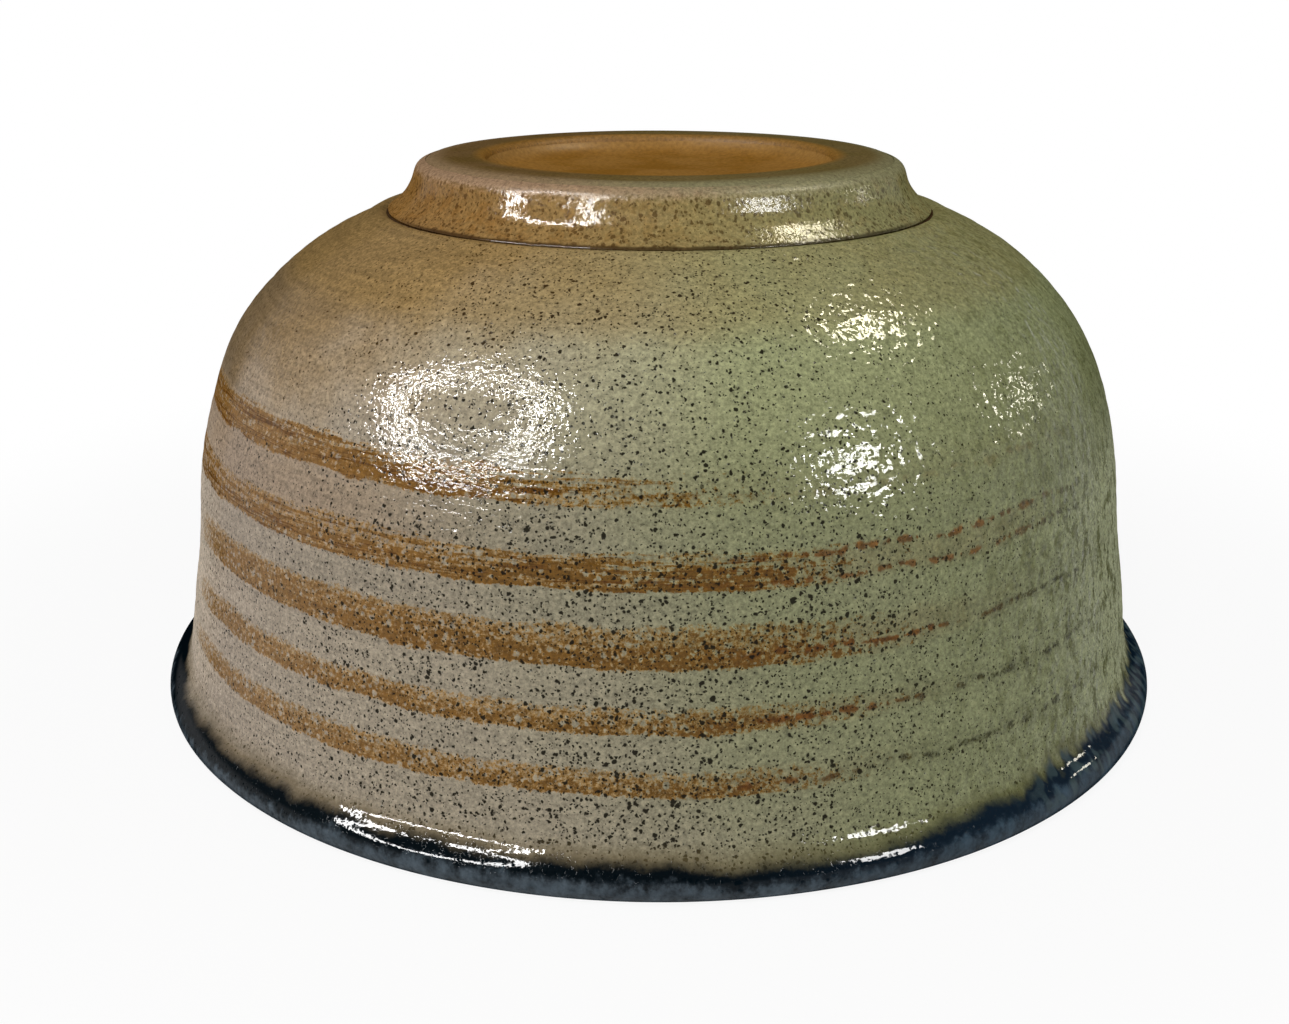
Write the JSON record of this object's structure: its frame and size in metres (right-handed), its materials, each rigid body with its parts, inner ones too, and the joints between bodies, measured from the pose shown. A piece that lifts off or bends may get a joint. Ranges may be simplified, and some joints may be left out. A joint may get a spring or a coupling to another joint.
{
  "type": "tea bowl",
  "caption": "Stoneware tea bowl stored mouth down, with a flared cobalt lip, a turned foot ring with a recess, and iron brush bands round the glazed wall.",
  "frame": {"origin": "centre of the lip's plane, which is the surface the bowl stands on when it is stored mouth down", "axes": "+Z along the bowl's axis, out of the foot; the bowl opens along -Z, so turn it 180 degrees about X to drink from it; -Y faces the side where the iron brush bands run out"},
  "size_m": [0.124, 0.124, 0.0636],
  "materials": {
    "clay": "bare fired stoneware",
    "glaze": "glossy grey-green ash glaze",
    "cobalt": "glossy dark cobalt glaze",
    "iron": "iron brush slip under a glossy skin",
    "amber": "glossy amber glaze"
  },
  "bodies": {
    "root": {"clay_wall": "clay", "foot_ring": "clay", "outer_glaze": "glaze", "inner_glaze": "glaze", "rim_glaze": "cobalt", "foot_glaze": "amber", "recess_glaze": "amber", "iron_stroke_1": "iron", "iron_stroke_2": "iron", "iron_stroke_3": "iron", "iron_stroke_4": "iron", "iron_stroke_5": "iron"}
  },
  "joints": []
}
